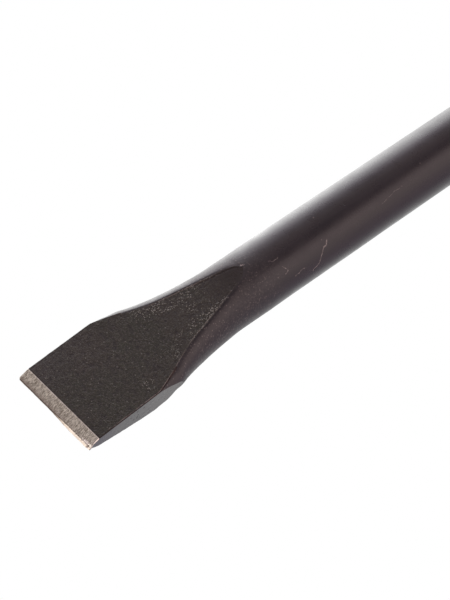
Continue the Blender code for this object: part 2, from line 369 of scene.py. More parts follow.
def build_forging():
    quarter_segments = N_FACE + N_FILLET + N_ARC + N_FLAT
    ring_size = 4 * quarter_segments
    # Each ring runs: top middle to +Y side, to bottom middle, to -Y side, back to the top middle.
    verts, ring_s = [], stations()
    for s in ring_s:
        plus, minus = HALF_EDGE - corner_inset(s, 0.34), HALF_EDGE - corner_inset(s, 0.08)
        ring = quarter(s, plus, 0.06)[:-1]
        ring += [(y, -z) for y, z in reversed(quarter(s, plus, 0.10))][:-1]
        ring += [(-y, -z) for y, z in quarter(s, minus, 0.16, LOWER)[:-1]]
        ring += [(-y, z) for y, z in reversed(quarter(s, minus, 0.34 if s < BEVEL else 0.16))][:-1]
        # the underside hangs a little lower along its -Y side
        sag = 0.36 * ease(0.0, 1.6, s) * (1 - ease(14.0, 20.5, s))
        if sag > 0:
            ring = [(y, z - sag * clamp(-z / 0.3) * (0.35 + 0.65 * clamp((8.0 - y) / 19.5))) for y, z in ring]
        lift = smooth_through(FLANK_LIFT, s)
        if 18.5 < s < 36.0:
            flat = 12.0 if s <= FLANK_CORNER else smooth_through(WIDTHS, s)
            height = face_height(s)
            for i, (y, z) in enumerate(ring):
                out = -y - flat + 0.3
                if out > 0 and abs(z) < height:
                    ring[i] = (y, z + lift * (1 - (z / height) ** 2) * clamp(out / 0.3))
        verts.append([(s - LENGTH, y, z) for y, z in ring])
    mesh = bmesh.new()
    rows = [[mesh.verts.new((x * MM, y * MM, z * MM)) for x, y, z in row] for row in verts]
    for r in range(len(rows) - 1):
        near, far = rows[r], rows[r + 1]
        s_mid = (ring_s[r] + ring_s[r + 1]) / 2
        for i in range(ring_size):
            j = (i + 1) % ring_size
            which, q = divmod(i, quarter_segments)
            if which in (1, 3):
                q = quarter_segments - 1 - q
            face = mesh.faces.new((near[i], near[j], far[j], far[i]))
            face.material_index = strip_kind(q, s_mid)
            face.smooth = True
    # The edge land joins the top row of the first ring to its bottom row.
    first = rows[0]
    across = N_FACE + N_FILLET + N_ARC
    half = 2 * quarter_segments
    for i in range(across):
        for top_a, top_b, low_b, low_a in (
            (first[i], first[i + 1], first[half - i - 1], first[half - i]),
            (first[-i] if i else first[0], first[-i - 1], first[half + i + 1], first[half + i]),
        ):
            face = mesh.faces.new((top_a, top_b, low_b, low_a))
            face.material_index = EDGE_BARE
            face.smooth = True
    side_left = [first[k] for k in range(across, half - across + 1)]
    side_right = [first[(ring_size - k) % ring_size] for k in range(across, half - across + 1)]
    for loop in (side_left, side_right):
        face = mesh.faces.new(loop)
        face.material_index = EDGE_BARE
        face.smooth = True
    # The struck face is a set of rings closing on the middle, so that it can carry its own marks.
    last = rows[-1]
    previous = last
    for k in range(1, 13):
        share = 1 - k / 13
        ring = [mesh.verts.new((v.co.x, v.co.y * share, v.co.z * share)) for v in last]
        for i in range(ring_size):
            j = (i + 1) % ring_size
            face = mesh.faces.new((previous[i], previous[j], ring[j], ring[i]))
            face.material_index = HEAD_FACE
            face.smooth = True
        previous = ring
    face = mesh.faces.new(previous)
    face.material_index = HEAD_FACE
    face.smooth = True
    bmesh.ops.remove_doubles(mesh, verts=mesh.verts, dist=2e-7)
    bmesh.ops.dissolve_degenerate(mesh, edges=mesh.edges, dist=1e-8)
    bmesh.ops.recalc_face_normals(mesh, faces=mesh.faces)
    mesh.normal_update()
    # Relief, worn edge and chips.
    mesh.verts.index_update()
    kinds = {}
    for face in mesh.faces:
        for v in face.verts:
            kinds.setdefault(v.index, set()).add(face.material_index)
    moved = []
    for v in mesh.verts:
        x, y, z = v.co.x / MM, v.co.y / MM, v.co.z / MM
        s = x + LENGTH
        kind = kinds.get(v.index, set())
        shift = Vector((0.0, 0.0, 0.0))
        if s > BEVEL + 0.05 and HEAD_FACE not in kind:
            amount = relief(x, y, z, s, LACQUER_FACE in kind)
            if SIDE_FLAT in kind:
                amount = 0.012 * grain(x, y, z, 0.5, 14.0) - 0.05 * max(0.0, grain(x, y, z, 0.9, 44.0) - 0.5)
            elif CORNER in kind:
                amount += 0.03 * grain(x, y, z, 1.1, 51.0)
            shift += v.normal * amount
        if s > LENGTH - 0.02 and HEAD_FACE in kind:
            shift.x += -0.05 + 0.03 * grain(0.0, y, z, 0.5, 2.0) + 0.012 * grain(0.0, y, z, 1.7, 7.0)
        if s < BEVEL - 0.01:
            # grinding left the edge a little forward, with a burr that folds down along the -Y half
            forward = (1 - s / BEVEL)
            wave = 0.05 * grain(0.0, y, 0.0, 0.55, 1.0) + 0.03 * grain(0.0, y, 0.0, 1.9, 4.0)
            fold = 1 - ease(0.0, 0.55, s)
            burr = clamp((1.5 - y) / 7.0)
            burr = burr * burr * (3 - 2 * burr)
            reach = (0.25 - 0.17 * burr) if z > 0 else (0.25 + 0.20 * burr)
            shift.x -= (reach + wave * (1 - ease(0.0, 1.2, s))) * forward * (1 - ease(11.4, 12.0, abs(y)) * (0.45 if y > 0 else 0.0))
            ragged = 0.10 * grain(0.0, y, 0.0, 1.6, 17.0) + 0.06 * grain(0.0, y, 0.0, 3.1, 27.0)
            if z < 0:
                shift.z -= (0.14 + (0.33 + ragged) * burr) * fold * (1 - 0.55 * ease(11.45, 11.95, -y))
            else:
                shift.z -= (0.05 + 0.10 * burr) * fold
            shift.y -= 0.26 * ease(11.2, 12.0, -y) * (1 - ease(0.0, 1.1, s))
            lines = 0.011 * grain(x * 0.3, y, 0.0, 2.3, 12.0) + 0.010 * grain(x * 0.2, y, 0.0, 0.6, 15.0)
            shift.z += lines * (1 if z > 0 else -1)
            # a torn-out pit close to the right-hand corner
            near = exp(-((y + 11.35) ** 2 / 0.05 + (s - 0.1) ** 2 / 0.05))
            shift.z -= 0.22 * near * (1 if z > 0 else 0.0)
            shift.x += 0.16 * near
        moved.append(shift)
    for v, shift in zip(mesh.verts, moved):
        v.co += shift * MM
    # Clear steps between finishes stay crisp.
    for edge in mesh.edges:
        found = {f.material_index for f in edge.link_faces}
        if len(found) > 1 and found not in ({LACQUER_FACE, LACQUER_BAR}, {LACQUER_BAR, CORNER}):
            edge.smooth = False
    mesh.normal_update()
    layer = mesh.verts.layers.float.new("inside")
    for v in mesh.verts:
        v[layer] = inside_face(v.co.x / MM, v.co.y / MM, v.co.z / MM)
    # the flare draws in further on its +Y side and runs out later along the -Y side
    for v in mesh.verts:
        s, y = v.co.x / MM + LENGTH, v.co.y / MM
        share = min(1.0, (y / 8.0) ** 2)
        if y > 0:
            v.co.y -= MM * share * smooth_through(DRAWN_IN, s)
        else:
            v.co.y -= MM * share * smooth_through(RUN_OUT, s)
    mesh.normal_update()
    add_scuffs(mesh, BVHTree.FromBMesh(mesh))
    data = bpy.data.meshes.new("chisel_forging_surface")
    mesh.to_mesh(data)
    mesh.free()
    piece = bpy.data.objects.new("chisel_steel", data)
    bpy.context.scene.collection.objects.link(piece)
    return piece


# ------------------------------------------------------------------ turned guard pieces
def rounded(profile, radius, steps=4):
    """Closed outline with every corner eased by a short curve of about that radius."""
    out = []
    count = len(profile)
    for i in range(count):
        a, b, c = Vector(profile[i - 1]), Vector(profile[i]), Vector(profile[(i + 1) % count])
        into, away = (a - b), (c - b)
        cut = min(radius, 0.42 * into.length, 0.42 * away.length)
        start, end = b + into.normalized() * cut, b + away.normalized() * cut
        for k in range(steps + 1):
            t = k / steps
            p = start * (1 - t) ** 2 + b * 2 * t * (1 - t) + end * t * t
            out.append((p.x, p.y))
    return out


def filled(profile, step):
    """Same outline with no gap between points longer than step."""
    out = []
    count = len(profile)
    for i in range(count):
        a, b = Vector(profile[i]), Vector(profile[(i + 1) % count])
        pieces = max(1, int((b - a).length / step))
        out += [tuple(a.lerp(b, k / pieces)) for k in range(pieces)]
    return out


def lathe(name, profile, steps, shape=None):
    """Ring about X from a closed outline of (distance from the edge, radius). shape(s, r, angle) may change r and s."""
    mesh = bmesh.new()
    rings = []
    for k in range(steps):
        angle = 2 * pi * k / steps
        ring = []
        for s, r in profile:
            if shape:
                s, r = shape(s, r, angle)
            ring.append(mesh.verts.new(((s - LENGTH) * MM, r * cos(angle) * MM, r * sin(angle) * MM)))
        rings.append(ring)
    count = len(profile)
    for k in range(steps):
        a, b = rings[k], rings[(k + 1) % steps]
        for i in range(count):
            j = (i + 1) % count
            face = mesh.faces.new((a[i], a[j], b[j], b[i]))
            face.smooth = True
    bmesh.ops.recalc_face_normals(mesh, faces=mesh.faces)
    data = bpy.data.meshes.new(name)
    mesh.to_mesh(data)
    mesh.free()
    piece = bpy.data.objects.new(name, data)
    bpy.context.scene.collection.objects.link(piece)
    return piece


def build_core():
    outer = [
        (146.0, SLEEVE - 0.6), (146.8, SLEEVE), (216.5, SLEEVE + 0.6), (219.6, SLEEVE + 2.2),
        (FLANGE_FRONT, SLEEVE + 6.0), (FLANGE_FRONT, FLANGE), (FLANGE_BACK, FLANGE),
        (FLANGE_BACK, COLLAR + 0.3), (FLANGE_BACK + 0.6, COLLAR), (GUARD_BACK - 3.2, COLLAR - 0.1),
        (GUARD_BACK - 3.0, COLLAR - 0.6), (GUARD_BACK - 2.2, COLLAR - 0.6), (GUARD_BACK - 2.0, COLLAR - 0.2),
        (GUARD_BACK, COLLAR - 0.5),
    ]
    bore = [(GUARD_BACK, BORE + 1.0), (GUARD_BACK - 1.4, BORE), (146.0, BORE)]
    profile = filled(rounded(outer + bore, 0.45, 3), 4.0)

    def notches(s, r, angle):
        # eight shallow relief slots in the collar's end, as moulded ejector lands
        if s > GUARD_BACK - 1.9 and r > BORE + 1.2:
            wave = cos(8 * angle)
            s -= 0.55 * ease(0.80, 0.93, wave)
        return s, r

    return lathe("guard_core_moulding", profile, 192, notches)


def build_grip():
    outer = [(GUARD_FRONT, GRIP - 1.6), (GUARD_FRONT + 1.2, GRIP - 0.3), (GUARD_FRONT + 4.5, GRIP - 0.1), (GUARD_FRONT + 5.2, GRIP - 0.75), (GUARD_FRONT + 6.2, GRIP - 0.75), (GUARD_FRONT + 6.9, GRIP - 0.1)]
    first = 152.0
    for rib in range(RIBS):
        start = first + rib * RIB_PITCH
        outer += [(start, GRIP - 0.25), (start + 0.9, GRIP + RIB), (start + 3.7, GRIP + RIB), (start + 4.6, GRIP - 0.25)]
    outer += [(213.0, GRIP + 0.3), (217.0, GRIP + 1.9), (219.6, GRIP + 4.4), (FLANGE_FRONT - GAP, GRIP + 5.15)]
    inner = [
        (FLANGE_FRONT - GAP, SLEEVE + 6.2), (219.2, SLEEVE + 2.6), (216.3, SLEEVE + 0.95), (146.6, SLEEVE + 0.35),
        (145.7, SLEEVE - 0.3), (145.7, BORE + 0.1), (GUARD_FRONT, BORE + 0.1),
    ]
    profile = filled(rounded(outer + inner, 0.75, 4), 1.2)

    def flutes(s, r, angle):
        # four thumb flats run down the ribs so that the guard doesn't roll in the hand
        if r > GRIP - 0.6 and 151.0 < s < 211.5:
            flat = max(0.0, cos(4 * angle))
            r -= 0.28 * flat ** 6 * ease(151.0, 154.0, s) * (1 - ease(208.0, 211.5, s))
        return s, r

    return lathe("soft_grip_sleeve", profile, 176, flutes)


def build_cushion():
    rim = FLANGE + GAP
    outer = [
        (FLANGE_FRONT - GAP, rim - 2.6), (FLANGE_FRONT - GAP - 1.4, rim - 2.2), (FLANGE_FRONT - GAP - 1.9, rim - 0.6),
        (FLANGE_FRONT - GAP - 1.3, rim + 1.7), (FLANGE_FRONT + 0.6, CUSHION), (FLANGE_BACK + 1.6, CUSHION),
        (CUSHION_BACK - 0.6, CUSHION - 2.0), (CUSHION_BACK, CUSHION - 4.0),
    ]
    # two concentric grooves in the struck side
    for middle in (19.2, 16.9):
        outer += [(CUSHION_BACK, middle + 0.55), (CUSHION_BACK - 0.5, middle + 0.25), (CUSHION_BACK - 0.5, middle - 0.25), (CUSHION_BACK, middle - 0.55)]
    outer += [(CUSHION_BACK, COLLAR + 1.8), (CUSHION_BACK - 0.8, COLLAR + GAP + 0.2)]
    inner = [(FLANGE_BACK + GAP, COLLAR + GAP), (FLANGE_BACK + GAP, rim), (FLANGE_FRONT - GAP, rim)]
    profile = filled(rounded(outer + inner, 0.9, 4), 1.4)

    def knurl(s, r, angle):
        # shallow finger notches round the rim
        if r > CUSHION - 1.0:
            r -= 0.22 * max(0.0, cos(30 * angle)) ** 4
        return s, r

    return lathe("flange_cushion_pad", profile, 360, knurl)


# ------------------------------------------------------------------ node helpers
class Nodes:
    def __init__(self, name):
        self.material = bpy.data.materials.new(name)
        self.material.use_nodes = True
        self.tree = self.material.node_tree
        self.shader = self.tree.nodes["Principled BSDF"]
        self.coordinates = self.tree.nodes.new("ShaderNodeTexCoord").outputs["Object"]

    def link(self, a, b):
        self.tree.links.new(a, b)

    def set(self, **values):
        for name, value in values.items():
            self.shader.inputs[name.replace("_", " ")].default_value = value

    def attribute(self, name):
        node = self.tree.nodes.new("ShaderNodeAttribute")
        node.attribute_name = name
        return node.outputs["Fac"]

    def mapped(self, scale, offset=(0, 0, 0), rotate=(0, 0, 0)):
        node = self.tree.nodes.new("ShaderNodeMapping")
        node.inputs["Scale"].default_value = scale
        node.inputs["Location"].default_value = offset
        node.inputs["Rotation"].default_value = rotate
        self.link(self.coordinates, node.inputs["Vector"])
        return node.outputs["Vector"]

    def noise(self, vector, scale, detail=3.0, rough=0.5, distortion=0.0):
        node = self.tree.nodes.new("ShaderNodeTexNoise")
        node.inputs["Scale"].default_value = scale
        node.inputs["Detail"].default_value = detail
        node.inputs["Roughness"].default_value = rough
        node.inputs["Distortion"].default_value = distortion
        self.link(vector, node.inputs["Vector"])
        return node.outputs["Fac"]

    def voronoi(self, vector, scale, feature="F1", output="Distance", randomness=1.0):
        node = self.tree.nodes.new("ShaderNodeTexVoronoi")
        node.feature = feature
        node.inputs["Scale"].default_value = scale
        node.inputs["Randomness"].default_value = randomness
        self.link(vector, node.inputs["Vector"])
        return node.outputs[output]

    def math(self, operation, a, b=None, c=None, clamped=False):
        node = self.tree.nodes.new("ShaderNodeMath")
        node.operation = operation
        node.use_clamp = clamped
        for i, value in enumerate((a, b, c)):
            if value is None:
                continue
            if isinstance(value, (int, float)):
                node.inputs[i].default_value = value
            else:
                self.link(value, node.inputs[i])
        return node.outputs[0]

    def vector(self, operation, a, b):
        node = self.tree.nodes.new("ShaderNodeVectorMath")
        node.operation = operation
        for i, value in enumerate((a, b)):
            if isinstance(value, tuple):
                node.inputs[i].default_value = value
            else:
                self.link(value, node.inputs[i])
        return node.outputs["Value" if operation in ("DOT_PRODUCT", "DISTANCE", "LENGTH") else "Vector"]

    def span(self, value, low, high, to_low=0.0, to_high=1.0):
        """value remapped smoothly from low..high to to_low..to_high, clamped."""
        node = self.tree.nodes.new("ShaderNodeMapRange")
        node.interpolation_type = "SMOOTHSTEP"
        self.link(value, node.inputs["Value"])
        for name, number in (("From Min", low), ("From Max", high), ("To Min", to_low), ("To Max", to_high)):
            node.inputs[name].default_value = number
        return node.outputs["Result"]

    def axis(self, which):
        node = self.tree.nodes.new("ShaderNodeSeparateXYZ")
        self.link(self.coordinates, node.inputs[0])
        return node.outputs[which]

    def mix(self, factor, a, b):
        """Mixes two colours. Each is a tuple or a socket."""
        node = self.tree.nodes.new("ShaderNodeMix")
        node.data_type = "RGBA"
        if isinstance(factor, (int, float)):
            node.inputs["Factor"].default_value = factor
        else:
            self.link(factor, node.inputs["Factor"])
        for socket, value in ((node.inputs[6], a), (node.inputs[7], b)):
            if isinstance(value, tuple):
                socket.default_value = (*value, 1.0)
            else:
                self.link(value, socket)
        return node.outputs[2]

    def bump(self, height, strength, distance, onto=None):
        node = self.tree.nodes.new("ShaderNodeBump")
        node.inputs["Strength"].default_value = strength
        node.inputs["Distance"].default_value = distance
        self.link(height, node.inputs["Height"])
        if onto is not None:
            self.link(onto, node.inputs["Normal"])
        return node.outputs["Normal"]

    def colour(self, socket):
        self.link(socket, self.shader.inputs["Base Color"])

    def roughness(self, socket):
        self.link(socket, self.shader.inputs["Roughness"])

    def normal(self, socket):
        self.link(socket, self.shader.inputs["Normal"])


def speckles(n, scale, share, seed, inner=0.10, outer=0.34):
    """Small sparse dots: 1 in a dot, 0 elsewhere. share is how many of the cells hold one."""
    at = n.mapped((1, 1, 1), (seed, seed * 0.37, -seed * 0.61))
    distance = n.voronoi(at, scale)
    pick = n.voronoi(at, scale, output="Color")
    separate = n.tree.nodes.new("ShaderNodeSeparateColor")
    n.link(pick, separate.inputs[0])
    chosen = n.math("LESS_THAN", separate.outputs[0], share)
    dot = n.span(distance, inner, outer, 1.0, 0.0)
    return n.math("MULTIPLY", dot, chosen)


def lacquer_face():
    """Thin black-brown lacquer over the pebbled skin of the hammered blade."""
    n = Nodes("lacquer_on_forged_face")
    c = n.coordinates
    fine = n.noise(c, 2300.0, 3.0, 0.7)
    pebbles = n.noise(n.mapped((1, 1, 1), (0.3, 0.1, 0.2)), 1000.0, 4.0, 0.68, 0.3)
    broad = n.noise(c, 130.0, 3.0)
    x, y = n.axis(0), n.axis(1)
    inside = n.attribute("inside")
    colour = n.mix(n.span(broad, 0.35, 0.66), (0.0222, 0.0206, 0.0112), (0.0272, 0.0208, 0.0136))
    # the lacquer is thinner and browner towards the +Y corner of the bevel
    corner = n.math("MULTIPLY", n.span(x, -0.246, -0.228, 1.0, 0.0), n.span(y, 0.001, 0.011))
    colour = n.mix(n.math("MULTIPLY", corner, 0.7), colour, (0.0400, 0.0335, 0.0305))
    colour = n.mix(n.span(fine, 0.50, 0.64, 0.0, 0.80), colour, (0.058, 0.0520, 0.036))
    colour = n.mix(n.span(pebbles, 0.36, 0.50, 0.85, 0.0), colour, (0.013, 0.009, 0.007))
    # pale specks: mineral dust and worn tips of the scale, partly painted glints off the rough scale, thicker beside
    # the corners of the face
    band = n.math("MULTIPLY", n.span(x, -0.2245, -0.2165), n.span(x, -0.2010, -0.1965, 1.0, 0.0))
    cluster = n.span(n.noise(n.mapped((1, 1, 1), (0.02, 0.5, 0.1)), 300.0, 2.0, 0.6), 0.38, 0.52)
    wide = n.span(x, -0.214, -0.202, 0.0040, 0.0010)
    border = n.math("MULTIPLY", n.math("LESS_THAN", n.math("MULTIPLY", inside, 0.001), wide), band)
    spot = n.span(n.vector("DISTANCE", c, (-0.2183, -0.0090, 0.0044)), 0.0010, 0.0026, 1.0, 0.0)
    spot_two = n.span(n.vector("DISTANCE", c, (-0.2092, 0.0015, 0.0056)), 0.0016, 0.0042, 0.8, 0.0)
    spot_three = n.span(n.vector("DISTANCE", c, (-0.2305, -0.0089, 0.0030)), 0.0008, 0.0024, 0.9, 0.0)
    where = n.math("MAXIMUM", n.math("MAXIMUM", n.math("MAXIMUM", border, spot), spot_two), spot_three)
    where = n.math("MAXIMUM", n.math("MULTIPLY", where, cluster), 0.11)
    dots = n.math("MULTIPLY", n.math("MAXIMUM", speckles(n, 2900.0, 0.50, 0.4, 0.20, 0.50), speckles(n, 2100.0, 0.10, 2.4, 0.22, 0.48)), where)
    few = n.math("MULTIPLY", speckles(n, 1900.0, 0.05, 1.7, 0.12, 0.38), 0.5)
    marks = n.math("MAXIMUM", dots, few)
    colour = n.mix(marks, colour, (0.235, 0.218, 0.178))
    # painted highlight on a raised lip just inside the -Y corner, with painted shade in the crease outside it
    broken = n.span(pebbles, 0.42, 0.54, 0.25, 1.0)
    lip_highlight = n.math("MULTIPLY", n.span(inside, 0.30, 0.46), n.span(inside, 0.52, 0.72, 1.0, 0.0))
    lip_highlight = n.math("MULTIPLY", n.math("MULTIPLY", lip_highlight, broken), n.math("MULTIPLY", n.span(x, -0.222, -0.212), n.span(x, -0.201, -0.197, 0.75, 0.0)))
    # painted highlight: a pale line just inside the corner of the face along its -Y side, near the bevel
    rim = n.math("MULTIPLY", n.span(inside, 0.08, 0.16), n.span(inside, 0.30, 0.42, 1.0, 0.0))
    rim = n.math("MULTIPLY", n.math("MULTIPLY", rim, broken), n.math("MULTIPLY", n.span(y, -0.001, -0.003, 0.0, 0.8), n.span(x, -0.246, -0.238)))
    rim = n.math("MULTIPLY", rim, n.span(x, -0.222, -0.216, 1.0, 0.0))
    colour = n.mix(lip_highlight, colour, (0.150, 0.124, 0.104))
    colour = n.mix(rim, colour, (0.200, 0.165, 0.142))
    # painted shade: the crease along the corner of the face darkened, fading out towards the bar
    crease_shade = n.math("MULTIPLY", n.span(inside, 0.06, 0.26, 0.80, 0.0), n.span(x, -0.222, -0.211))
    # towards the bar the skin grows smooth and the face runs out into it
    smooth = n.span(x, -0.2070, -0.1970)
    colour = n.mix(n.math("MULTIPLY", smooth, 0.8), colour, (0.0265, 0.0212, 0.0200))
    colour = n.mix(n.math("MULTIPLY", crease_shade, n.math("SUBTRACT", 1.0, smooth)), colour, (0.012, 0.008, 0.007))
    n.colour(colour)
    n.roughness(n.math("MULTIPLY_ADD", smooth, -0.12, n.span(n.noise(c, 700.0, 3.0), 0.3, 0.7, 0.36, 0.48)))
    height = n.math("ADD", n.math("MULTIPLY", pebbles, 0.6), n.math("MULTIPLY", fine, 0.5))
    height = n.math("MULTIPLY", n.math("ADD", height, n.math("MULTIPLY", marks, 0.35)), n.math("MULTIPLY_ADD", smooth, -0.8, 1.0))
    n.normal(n.bump(height, 1.0, 0.00032))
    n.set(Metallic=0.0, IOR=1.4)
    return n.material


def lacquer_bar():
    """The same lacquer on the smooth rolled bar, glossier, with a few hairline scuffs."""
    n = Nodes("lacquer_on_round_bar")
    c = n.coordinates
    x = n.axis(0)
    broad = n.noise(n.mapped((0.30, 1, 1)), 130.0, 3.0)
    streaks = n.noise(n.mapped((0.035, 1, 1), (0.2, 0.1, 0.3)), 900.0, 2.0, 0.5)
    colour = n.mix(n.span(broad, 0.35, 0.65), (0.0212, 0.0168, 0.0172), (0.0266, 0.0208, 0.0209))
    # painted reflection: lighter lengthwise streaks along the bar, from the same noise that gives its faint bump
    colour = n.mix(n.span(streaks, 0.42, 0.66, 0.0, 0.35), colour, (0.0330, 0.0262, 0.0270))
    # the skin is grainier where the flank was hammered, and smooths out along the bar
    hammered = n.span(x, -0.198, -0.182, 1.0, 0.0)
    grit = n.noise(c, 2100.0, 3.0, 0.65)
    colour = n.mix(n.math("MULTIPLY", n.span(grit, 0.52, 0.66, 0.0, 0.8), hammered), colour, (0.064, 0.053, 0.047))
    colour = n.mix(n.math("MULTIPLY", n.span(grit, 0.34, 0.46, 0.6, 0.0), hammered), colour, (0.012, 0.008, 0.008))
    # painted shade darkening the crease beside the forged face
    inside = n.attribute("inside")
    crease_shade = n.math("MULTIPLY", n.span(inside, -0.60, -0.10, 0.0, 0.8), n.span(x, -0.2020, -0.1955, 1.0, 0.0))
    crease_shade = n.math("MULTIPLY", crease_shade, n.span(x, -0.224, -0.211))
    # painted highlight: beyond the crease the hammered flank is made a little lighter
    rubbed = n.math("MULTIPLY", n.span(inside, -0.9, -0.4, 1.0, 0.0), n.span(inside, -3.4, -1.5))
    rubbed = n.math("MULTIPLY", rubbed, n.span(x, -0.200, -0.192, 1.0, 0.0))
    colour = n.mix(n.math("MULTIPLY", rubbed, 0.55), colour, (0.048, 0.0395, 0.0365))
    colour = n.mix(crease_shade, colour, (0.012, 0.008, 0.008))
    dust = n.math("MULTIPLY", speckles(n, 520.0, 0.05, 2.9, 0.05, 0.13), 0.55)
    specks = n.math("MULTIPLY", speckles(n, 1900.0, 0.26, 5.2, 0.15, 0.45), n.math("MULTIPLY", hammered, 0.38))
    marks = n.math("MAXIMUM", dust, specks)
    colour = n.mix(n.math("MULTIPLY", marks, 0.75), colour, (0.26, 0.215, 0.19))
    dents = speckles(n, 640.0, 0.03, 7.7, 0.05, 0.14)
    colour = n.mix(n.math("MULTIPLY", dents, 0.7), colour, (0.008, 0.006, 0.006))
    n.colour(colour)
    gloss = n.span(n.noise(c, 260.0, 3.0), 0.3, 0.7, 0.0, 0.07)
    n.roughness(n.math("ADD", gloss, n.math("MULTIPLY_ADD", hammered, 0.14, 0.255)))
    height = n.math("MULTIPLY", grit, n.math("MULTIPLY_ADD", hammered, 0.55, 0.10))
    height = n.math("ADD", height, n.math("MULTIPLY", marks, 0.4))
    height = n.math("ADD", height, n.math("MULTIPLY", streaks, 0.12))
    height = n.math("SUBTRACT", height, n.math("MULTIPLY", dents, 0.5))
    n.normal(n.bump(height, 0.8, 0.00008))
    n.set(Metallic=0.0, IOR=1.5)
    return n.material


def scuffed():
    """Lacquer rubbed pale along a scuff."""
    n = Nodes("rubbed_lacquer_scuff")
    grit = n.noise(n.coordinates, 3000.0, 2.0, 0.6)
    colour = n.mix(n.span(grit, 0.35, 0.58), (0.100, 0.082, 0.073), (0.350, 0.302, 0.275))
    n.colour(colour)
    n.roughness(n.span(grit, 0.3, 0.7, 0.50, 0.70))
    n.normal(n.bump(grit, 0.5, 0.00004))
    n.set(Metallic=0.0, IOR=1.5)
    return n.material


def ground_steel():
    """Bare ground bevel: fine grinding lines square to the edge, and a worn ridge with a painted highlight along it."""
    n = Nodes("ground_bevel_steel")
    x, y = n.axis(0), n.axis(1)
    lines = n.noise(n.mapped((0.26, 1.0, 0.5), (0, 0, 0), (0, 0, radians(7))), 4200.0, 3.0, 0.75)
    broad_lines = n.noise(n.mapped((0.3, 1.0, 0.3), (0.1, 0, 0), (0, 0, radians(7))), 2200.0, 3.0, 0.7)
    flecks = n.noise(n.mapped((0.6, 1, 1), (0.2, 0.4, 0.1)), 2400.0, 2.0, 0.6)
    smear = n.noise(n.coordinates, 330.0, 3.0, 0.6)
    colour = n.mix(n.span(lines, 0.40, 0.60), (0.290, 0.268, 0.205), (0.760, 0.730, 0.590))
    colour = n.mix(n.span(broad_lines, 0.50, 0.66, 0.0, 0.6), colour, (0.78, 0.75, 0.62))
    colour = n.mix(n.span(broad_lines, 0.34, 0.47, 0.55, 0.0), colour, (0.30, 0.272, 0.206))
    colour = n.mix(n.span(flecks, 0.60, 0.68, 0.0, 0.40), colour, (0.13, 0.108, 0.086))
    colour = n.mix(n.span(smear, 0.58, 0.72, 0.0, 0.45), colour, (0.26, 0.230, 0.190))
    # duller and browner close to the edge
    dull = n.span(x, -0.2502, -0.2490, 0.62, 0.0)
    colour = n.mix(dull, colour, (0.235, 0.190, 0.150))
    burred = n.span(y, -0.0060, 0.0010, -0.00014, 0.0)
    colour = n.mix(n.span(n.math("ADD", x, burred), -0.25020, -0.25004, 0.85, 0.0), colour, (0.070, 0.048, 0.034))
    # polished chips where the burr has been worn off, along the -Y end of the edge
    worn = n.math("MULTIPLY", n.span(y, -0.0100, -0.0085, 1.0, 0.0), n.span(x, -0.2497, -0.2493, 1.0, 0.0))
    worn = n.math("MULTIPLY", worn, n.span(n.noise(n.coordinates, 1500.0, 2.0, 0.6), 0.38, 0.52))
    colour = n.mix(n.math("MULTIPLY", worn, 0.85), colour, (0.92, 0.86, 0.74))
    pit = n.span(n.vector("DISTANCE", n.coordinates, (-0.2500, -0.01135, 0.0000)), 0.00014, 0.00034, 0.9, 0.0)
    colour = n.mix(pit, colour, (0.075, 0.050, 0.035))
    # painted highlight: a bright broken line along the ridge between bevel and face
    ridge = n.span(x, -0.24778, -0.24756)
    ridge = n.math("MULTIPLY", ridge, n.span(n.noise(n.coordinates, 900.0, 2.0), 0.35, 0.55, 0.25, 1.0))
    # painted highlight at the -Y end of the bevel, where it meets the side flat
    end = n.math("MULTIPLY", n.span(y, -0.01180, -0.01166, 1.0, 0.0), n.span(x, -0.2496, -0.2488))
    colour = n.mix(n.math("MAXIMUM", n.math("MULTIPLY", ridge, 0.85), end), colour, (0.88, 0.84, 0.73))
    n.colour(colour)
    n.roughness(n.span(lines, 0.3, 0.7, 0.30, 0.44))
    height = n.math("ADD", n.math("MULTIPLY", lines, 0.7), n.math("MULTIPLY", broad_lines, 0.6))
    n.normal(n.bump(height, 0.9, 0.00007))
    n.set(Metallic=1.0)
    return n.material


def bare_edge():
    """The very edge: dull brown along the +Y half, a bright torn burr along the -Y half."""
    n = Nodes("bare_edge_steel")
    y = n.axis(1)
    patches = n.noise(n.mapped((1, 1, 1), (0.1, 0, 0)), 900.0, 3.0, 0.65)
    bright = n.math("MULTIPLY", n.span(y, -0.0055, 0.0005, 1.0, 0.0), n.span(patches, 0.36, 0.50, 0.35, 1.0))
    colour = n.mix(n.span(patches, 0.42, 0.60), (0.080, 0.052, 0.038), (0.140, 0.100, 0.076))
    colour = n.mix(bright, colour, (0.500, 0.430, 0.352))
    pit = n.span(n.vector("DISTANCE", n.coordinates, (-0.2502, -0.01135, -0.0001)), 0.00016, 0.00036, 1.0, 0.0)
    colour = n.mix(pit, colour, (0.035, 0.022, 0.015))
    n.colour(colour)
    n.roughness(n.span(patches, 0.3, 0.7, 0.40, 0.55))
    n.normal(n.bump(patches, 0.6, 0.00006))
    n.set(Metallic=1.0)
    return n.material


